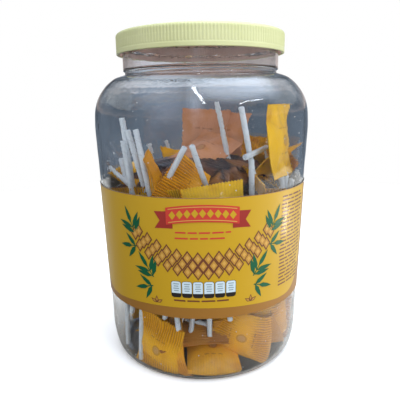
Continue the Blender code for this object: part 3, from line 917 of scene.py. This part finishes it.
def tiles(middle, height, count):
    """Pale rounded tiles with dark feet, each with thin grey bars"""
    for step in range(count):
        across = middle + TILE_SPACING * (step - (count - 1) / 2)
        patch(turned(rounded(3.25, 5.5, 1.6), across, height, 0), 0.1, "black")
        patch(turned(rounded(3.0, 5.25, 1.4), across, height, 0), 0.15, "pale blue")
        foot = [(-3.0, -2.6)] + [(x, y) for x, y in rounded(3.0, 5.25, 1.4) if y < -2.6] + [(3.0, -2.6)]
        patch(turned(foot, across, height, 0), 0.2, "black")
        for bar in range(4):
            wide = 1.9 - 0.35 * (bar % 2)
            patch(turned(rounded(wide, 0.32, 0.3), across, height + 3.6 - 1.5 * bar, 0), 0.2, "grey")


def bars(start, end, foot, top, spacing, ink, seed):
    """A block of thin bars of uneven lengths"""
    cut = random.Random(seed)
    rows = 1 + int((top - foot) / spacing)
    for row in range(rows):
        height = top - row * spacing
        across = start + cut.uniform(0, 1.5)
        while across < end - 3:
            length = min(cut.uniform(3.5, 9), end - across)
            patch(turned(rounded(length / 2, 0.5, 0.4), across + length / 2, height, 0), 0.12, ink)
            across += length + 1.1


def bud(across, height):
    """A small brown bud of three petals"""
    petal = [(0, 0), (1.2, 2.2), (0, 5.0), (-1.2, 2.2)]
    for tilt in (-58, 0, 58):
        patch(turned(petal, across, height, tilt), 0.1 + 0.03 * (tilt == 0), "brown")
        patch(turned([(0.6 * x, 0.6 * y + 0.9) for x, y in petal], across, height, tilt), 0.16, "honey")


FRONT_FIELD = (-99.0, 87.0)
BACK_FIELD = (118.0, 330.0)
field(*FRONT_FIELD)
field(*BACK_FIELD)
ribbon(0.0, 109.6, 22.0, 10.6)
bars(-17.0, 17.0, 101.0, 105.0, 3.6, "red", 3)
swag(0.0, 44.0, 79.0, 17.0, 3)
for side in (-1, 1):
    sprig(side * 45.0, 102.0, side * 24, 2, 12.0)
    sprig(side * 45.0, 93.0, side * 94, 1, 11.0)
    sprig(side * 33.0, 75.0, side * 34, 2, 12.0)
    sprig(side * 34.0, 68.0, side * 104, 1, 11.0)
    bud(side * 31.0, 57.0)
tiles(0.0, 68.0, 6)
bars(-20.0, 20.0, 58.6, 60.4, 3.0, "brown", 5)
bars(54.0, 83.0, 60.0, 122.0, 2.5, "brown", 9)
for centre in (172.0, 276.0):
    ribbon(centre, 109.6, 22.0, 10.6)
    bars(centre - 24, centre + 24, 62.0, 103.0, 2.7, "brown", int(centre))

# Coated paper, printed and varnished: satin, with flat inks, one for each colour of the design
label_inks = []
for ink_name, ink_hex in INKS.items():
    ink = empty_finish("Offset ink, " + ink_name)
    ink_shader = add_node(ink, "ShaderNodeBsdfPrincipled",
                          {"Base Color": linear(ink_hex), "Roughness": 0.45, "IOR": 1.45,
                           "Coat Weight": 0.12, "Coat Roughness": 0.14})
    add_node(ink, "ShaderNodeOutputMaterial", links={"Surface": ink_shader.outputs["BSDF"]})
    label_inks.append(ink)

# The label's back is bare paper, grey-beige as it shows through the jar
bare_paper = empty_finish("Bare label paper")
paper_place = add_node(bare_paper, "ShaderNodeTexCoord")
paper_fibre = add_node(bare_paper, "ShaderNodeTexNoise", {"Scale": 1 / 0.004, "Detail": 3.0},
                       {"Vector": paper_place.outputs["Object"]})
paper_tone = add_node(bare_paper, "ShaderNodeValToRGB", links={"Fac": paper_fibre.outputs["Fac"]},
                      stops=[(0.3, "#9A958C"), (0.7, "#ABA79E")])
bare_shader = add_node(bare_paper, "ShaderNodeBsdfPrincipled", {"Roughness": 0.7},
                       {"Base Color": paper_tone.outputs["Color"]})
add_node(bare_paper, "ShaderNodeOutputMaterial", links={"Surface": bare_shader.outputs["BSDF"]})

amber_ink = label_inks[list(INKS).index("amber")]
sleeve = make_piece("label_sleeve", sleeve_points, sleeve_faces, [amber_ink, bare_paper], sharp=30,
                    face_finish=sleeve_sides)
face_outwards(sleeve)
print_work = make_piece("label_print", print_points, print_faces, label_inks, sharp=30,
                        face_finish=print_inks)
for label_piece in (sleeve, print_work):
    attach(label_piece, "root")
    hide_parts("label")


# Lid: moulded low-density polyethylene, pale yellow, screwed down on the neck. Its skirt has 172 fine ribs
# to grip over a plain band, and its top a shallow sunk panel.

LID_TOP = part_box("lid")[1].z / MM
LID_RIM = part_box("lid")[0].z / MM
LID_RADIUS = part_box("lid")[1].x / MM
LID_WALL = 2.0
LID_BAND = 3.0
LID_RIBS = 172
LID_RIB_DEPTH = 0.32
COLUMNS_PER_RIB = 6
LID_COLUMNS = LID_RIBS * COLUMNS_PER_RIB
SKIRT_STEPS = 26
LID_PANEL = 0.9


def grip_relief(turn, height):
    """Rounded ribs that start under the edge and end in small domes over the band"""
    upper, lower = LID_TOP - 0.9, LID_RIM + LID_BAND + 0.25
    fade = min(1.0, max(0.0, (upper - height) / 0.9)) * min(1.0, max(0.0, (height - lower) / 0.5))
    valley = 0.5 - 0.5 * cos(LID_RIBS * turn)
    groove = 0.3 * exp(-((height - lower) / 0.25) ** 2)
    step = 0.1 if height < (upper + lower) / 2 else 0.0
    return -(LID_RIB_DEPTH - step) * fade * valley ** 0.7 - groove


lid_bore = LID_RADIUS - LID_WALL
panel_height = LID_TOP - LID_PANEL
skirt_top = LID_TOP - 2.2
lid_edge = [(panel_height, 0.0), (panel_height, 30.0), (panel_height, LID_RADIUS - 8.4),
            (panel_height + 0.25, LID_RADIUS - 7.9), (LID_TOP - 0.2, LID_RADIUS - 7.4),
            (LID_TOP, LID_RADIUS - 6.8), (LID_TOP, LID_RADIUS - 3.0), (LID_TOP - 0.25, LID_RADIUS - 1.7),
            (LID_TOP - 0.8, LID_RADIUS - 0.7), (LID_TOP - 1.5, LID_RADIUS - 0.15), (skirt_top, LID_RADIUS)]
lid_skirt = [(skirt_top - (skirt_top - LID_RIM) * step / SKIRT_STEPS, LID_RADIUS)
             for step in range(1, SKIRT_STEPS)]
lid_rim = [(LID_RIM + 0.25, LID_RADIUS - 0.05), (LID_RIM, LID_RADIUS - 0.35), (LID_RIM, lid_bore + 0.3),
           (LID_RIM + 0.3, lid_bore), (LID_TOP - 1.9, lid_bore), (LID_TOP - 1.9, 0.0)]
lid_points, lid_faces = lathe(lid_edge + lid_skirt + lid_rim, LID_COLUMNS, grip_relief)

# The lid's lining: pinkish card, a disc that seals the neck and a strip round the inside of the skirt, which
# shows through the neck
card = empty_finish("Card lining")
card_shader = add_node(card, "ShaderNodeBsdfPrincipled",
                       {"Base Color": linear("#FFDCD0"), "Roughness": 0.7})
add_node(card, "ShaderNodeOutputMaterial", links={"Surface": card_shader.outputs["BSDF"]})

# LDPE as moulded: satin, a little light passes into it, with a fine grain about 0.8 mm across
moulded_pe = empty_finish("Moulded LDPE")
lid_place = add_node(moulded_pe, "ShaderNodeTexCoord")
grain = add_node(moulded_pe, "ShaderNodeTexNoise", {"Scale": 1 / 0.0008, "Detail": 2.0},
                 {"Vector": lid_place.outputs["Object"]})
grain_bump = add_node(moulded_pe, "ShaderNodeBump", {"Strength": 0.12, "Distance": 0.0001},
                      {"Height": grain.outputs["Fac"]})
cloud = add_node(moulded_pe, "ShaderNodeTexNoise", {"Scale": 1 / 0.03, "Detail": 2.0},
                 {"Vector": lid_place.outputs["Object"]})
pale = add_node(moulded_pe, "ShaderNodeValToRGB", links={"Fac": cloud.outputs["Fac"]},
                stops=[(0.3, "#C6C993"), (0.7, "#D0D2A0")])
pe_shader = add_node(moulded_pe, "ShaderNodeBsdfPrincipled",
                     {"Roughness": 0.42, "IOR": 1.51, "Subsurface Weight": 0.12,
                      "Subsurface Radius": (0.002, 0.002, 0.001), "Subsurface Scale": 1.0},
                     {"Base Color": pale.outputs["Color"], "Normal": grain_bump.outputs["Normal"]})
add_node(moulded_pe, "ShaderNodeOutputMaterial", links={"Surface": pe_shader.outputs["BSDF"]})

lid_finish = [1 if at >= len(lid_faces) - 2 * LID_COLUMNS else 0 for at in range(len(lid_faces))]
lid = make_piece("lid_moulded", lid_points, lid_faces, [moulded_pe, card], sharp=60,
                 face_finish=lid_finish)
face_outwards(lid)
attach(lid, "root")
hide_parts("lid")


# Studio: a room with a broad bluish skylight, dimmer on the left, two tube lights on the ceiling and a lit
# door low on the right. The camera stands where the photograph's did, 0.32 m off and over the label.

FLOOR_RADIUS = 0.7
FLOOR_PALE = "#FFFFFF"
FLOOR_IN_SHADE = "#3A3632"
FLOOR_BOUNCE = "#F2EADC"
FLOOR_BEHIND = "#C4C0B8"


def inside_jar_matt(stage_finish, path):
    """Two nodes that say 1: where light reaches a matt surface, and where that one is inside the jar"""
    matt = add_node(stage_finish, "ShaderNodeMath", {1: 0.5}, {0: path.outputs["Diffuse Depth"]},
                    operation="GREATER_THAN")
    inside = add_node(stage_finish, "ShaderNodeMath", {1: 0.5}, {0: path.outputs["Transmission Depth"]},
                      operation="GREATER_THAN")
    both = add_node(stage_finish, "ShaderNodeMath", links={0: matt.outputs[0], 1: inside.outputs[0]},
                    operation="MULTIPLY")
    return matt, both


# The floor is cut out white where the picture sees it bare. Through the jar or mirrored in it, it is dark in
# front and pale behind, and it throws pale light up at what stands inside
floor_points, floor_faces = lathe([(0.0, FLOOR_RADIUS / MM), (0.0, 0.0)], 96)
studio_floor = empty_finish("Painted studio floor")
floor_place = add_node(studio_floor, "ShaderNodeNewGeometry")
floor_back = add_node(studio_floor, "ShaderNodeVectorMath", {1: (0.6, 1.0, 0.0)},
                      {0: floor_place.outputs["Position"]}, operation="DOT_PRODUCT")
floor_depth = add_node(studio_floor, "ShaderNodeMapRange", {"From Min": -0.14, "From Max": 0.02},
                       {"Value": floor_back.outputs["Value"]}, interpolation_type="SMOOTHSTEP")
floor_dull = add_node(studio_floor, "ShaderNodeMix",
                      {"A": linear(FLOOR_IN_SHADE), "B": linear(FLOOR_BEHIND)},
                      {"Factor": floor_depth.outputs["Result"]}, data_type="RGBA")
floor_path = add_node(studio_floor, "ShaderNodeLightPath")
floor_lights = inside_jar_matt(studio_floor, floor_path)[1]
floor_bounce = add_node(studio_floor, "ShaderNodeMix", {"B": linear(FLOOR_BOUNCE)},
                        {"Factor": floor_lights.outputs[0], "A": floor_dull.outputs[2]}, data_type="RGBA")
floor_tone = add_node(studio_floor, "ShaderNodeMix", {"B": linear(FLOOR_PALE)},
                      {"Factor": floor_path.outputs["Is Camera Ray"], "A": floor_bounce.outputs[2]},
                      data_type="RGBA")
floor_shader = add_node(studio_floor, "ShaderNodeBsdfPrincipled",
                        {"Roughness": 0.8, "Specular IOR Level": 0.2},
                        {"Base Color": floor_tone.outputs[2]})
add_node(studio_floor, "ShaderNodeOutputMaterial", links={"Surface": floor_shader.outputs["BSDF"]})
floor_piece = make_piece("floor", floor_points, floor_faces, [studio_floor])
face_outwards(floor_piece)

# The air is white where the camera looks past the jar. What the jar shows of the room is dim, and what
# lights its matt parts is the same room, brighter. Light is linear red, green and blue, 1 for white paper.
ROOM_LIGHT = (1.04, 1.06, 1.09, 1.0)
SKY_LIGHT = (1.75, 1.8, 1.9, 1.0)
LAMP_GLOW = (3.0, 3.5, 4.2, 1.0)
FILM_LIGHT = 1.5
world = bpy.data.worlds.new("Studio air")
world.use_nodes = True
world.node_tree.nodes.clear()
room_place = add_node(world, "ShaderNodeTexCoord")
room_axes = add_node(world, "ShaderNodeSeparateXYZ", links={"Vector": room_place.outputs["Generated"]})
skylight = add_node(world, "ShaderNodeMapRange", {"From Min": 0.35}, {"Value": room_axes.outputs["Z"]},
                    interpolation_type="SMOOTHSTEP")
side_light = add_node(world, "ShaderNodeMapRange",
                      {"From Min": -0.7, "From Max": 0.8, "To Min": 0.82, "To Max": 1.26},
                      {"Value": room_axes.outputs["X"]})
lamp_patch = add_node(world, "ShaderNodeVectorMath", {1: (0.22, -0.08, 0.97)},
                      {0: room_place.outputs["Generated"]}, operation="DOT_PRODUCT")
overhead_left = add_node(world, "ShaderNodeMapRange",
                         {"From Min": -0.3, "From Max": 0.1, "To Min": 0.1},
                         {"Value": room_axes.outputs["X"]}, interpolation_type="SMOOTHSTEP")
overhead_glow = add_node(world, "ShaderNodeMapRange", {"From Min": 0.6},
                         {"Value": lamp_patch.outputs["Value"], "To Max": overhead_left.outputs["Result"]},
                         interpolation_type="SMOOTHSTEP")
lit_room = add_node(world, "ShaderNodeMix", {"A": ROOM_LIGHT, "B": SKY_LIGHT},
                    {"Factor": skylight.outputs["Result"]}, data_type="RGBA")
dim_walls = add_node(world, "ShaderNodeValToRGB", links={"Fac": room_axes.outputs["Z"]},
                     stops=[(0.0, "#66707C"), (0.045, "#6A727C"), (0.075, "#B8ACA8"), (0.13, "#8E8C8E"),
                            (0.24, "#66707C")])
furniture = add_node(world, "ShaderNodeTexNoise", {"Scale": 3.6, "Detail": 5.0},
                     {"Vector": room_place.outputs["Generated"]})
furniture_tone = add_node(world, "ShaderNodeMapRange",
                          {"From Min": 0.36, "From Max": 0.64, "To Min": 0.5, "To Max": 1.5},
                          {"Value": furniture.outputs["Fac"]})
furnished = add_node(world, "ShaderNodeVectorMath",
                     links={0: dim_walls.outputs["Color"], "Scale": furniture_tone.outputs["Result"]},
                     operation="SCALE")
tube_place = add_node(world, "ShaderNodeVectorMath", {1: (4.6, 0.0, 1.3), 2: (0.46, 0.0, -0.8)},
                      {0: room_place.outputs["Generated"]}, operation="MULTIPLY_ADD")
tube_away = add_node(world, "ShaderNodeVectorMath", links={0: tube_place.outputs["Vector"]},
                     operation="LENGTH")
tube_glow = add_node(world, "ShaderNodeMapRange", {"From Max": 0.95, "To Min": 0.6, "To Max": 0.0},
                     {"Value": tube_away.outputs["Value"]}, interpolation_type="SMOOTHSTEP")
glow = add_node(world, "ShaderNodeMath", links={0: overhead_glow.outputs["Result"],
                                                1: tube_glow.outputs["Result"]}, operation="MAXIMUM")
dim_room = add_node(world, "ShaderNodeMix", {"B": LAMP_GLOW},
                    {"Factor": glow.outputs[0], "A": furnished.outputs["Vector"]}, data_type="RGBA")
light_path = add_node(world, "ShaderNodeLightPath")
on_matt, inside_matt = inside_jar_matt(world, light_path)
room = add_node(world, "ShaderNodeMix",
                links={"Factor": on_matt.outputs[0], "A": dim_room.outputs[2], "B": lit_room.outputs[2]},
                data_type="RGBA")
jar_light = add_node(world, "ShaderNodeMath", {1: FILM_LIGHT - 1, 2: 1.0}, {0: inside_matt.outputs[0]},
                     operation="MULTIPLY_ADD")
all_light = add_node(world, "ShaderNodeMath",
                     links={0: jar_light.outputs[0], 1: side_light.outputs["Result"]},
                     operation="MULTIPLY")
sided_room = add_node(world, "ShaderNodeVectorMath",
                      links={0: room.outputs[2], "Scale": all_light.outputs[0]}, operation="SCALE")
air = add_node(world, "ShaderNodeMix", {"B": linear("#FFFFFF")},
               {"Factor": light_path.outputs["Is Camera Ray"], "A": sided_room.outputs["Vector"]},
               data_type="RGBA")
backdrop = add_node(world, "ShaderNodeBackground", links={"Color": air.outputs[2]})
add_node(world, "ShaderNodeOutputWorld", links={"Surface": backdrop.outputs["Background"]})
bpy.context.scene.world = world


def soft_light(name, start, end, wide, watts, tint, glints_only):
    """A strip of light between two points in metres, facing the jar, that lights it or only glints in it"""
    run = Vector(end) - Vector(start)
    middle = (Vector(start) + Vector(end)) / 2
    to_jar = Vector((0.0, 0.0, 0.11)) - middle
    to_jar -= to_jar.dot(run.normalized()) * run.normalized()
    to_jar.normalize()
    lamp = bpy.data.lights.new(name, "AREA")
    lamp.shape = "RECTANGLE"
    lamp.size, lamp.size_y = run.length, wide
    lamp.energy = watts
    lamp.color = linear(tint)[:3]
    item = bpy.data.objects.new(name, lamp)
    item.matrix_world = Matrix.Translation(middle) @ Matrix(
        (run.normalized(), -to_jar.cross(run.normalized()), -to_jar)).transposed().to_4x4()
    item.visible_diffuse = not glints_only
    item.visible_glossy = glints_only
    item.visible_transmission = glints_only
    bpy.context.scene.collection.objects.link(item)


# The two ceiling tubes and the door only glint in the jar and the label, and the window only lights them
soft_light("ceiling tube ahead", (-0.14, -0.38, 1.4), (0.11, -1.9, 1.4), 0.055, 5, "#F4FAFF", True)
soft_light("ceiling tube right", (1.4, -1.64, 1.4), (1.81, -0.54, 1.4), 0.04, 3, "#F4FAFF", True)
soft_light("lit door", (0.285, 0.005, 0.014), (0.285, 0.005, 0.056), 0.03, 0.15, "#FFF8EA", True)
soft_light("window right", (0.5, -1.0, 0.5), (0.9, -0.7, 0.5), 0.5, 4, "#FFFDF6", False)

CAMERA_AWAY = 0.320
CAMERA_HEIGHT = 0.182
CAMERA_PITCH = 13.0
CAMERA_YAW = 0.32
CAMERA_ROLL = -0.88
SENSOR = 36.0
FOCAL_PIXELS = 434.0
PICTURE = 400
camera = bpy.data.objects.new("camera", bpy.data.cameras.new("camera"))
camera.data.sensor_width = SENSOR
camera.data.lens = FOCAL_PIXELS * SENSOR / PICTURE
camera.location = (0.0, -CAMERA_AWAY, CAMERA_HEIGHT)
aim = (Matrix.Rotation(radians(CAMERA_YAW), 3, "Z") @ Matrix.Rotation(radians(90 - CAMERA_PITCH), 3, "X")
       @ Matrix.Rotation(radians(CAMERA_ROLL), 3, "Z"))
camera.rotation_euler = aim.to_euler()
bpy.context.scene.collection.objects.link(camera)
bpy.context.scene.camera = camera
bpy.context.scene.view_settings.view_transform = "Standard"
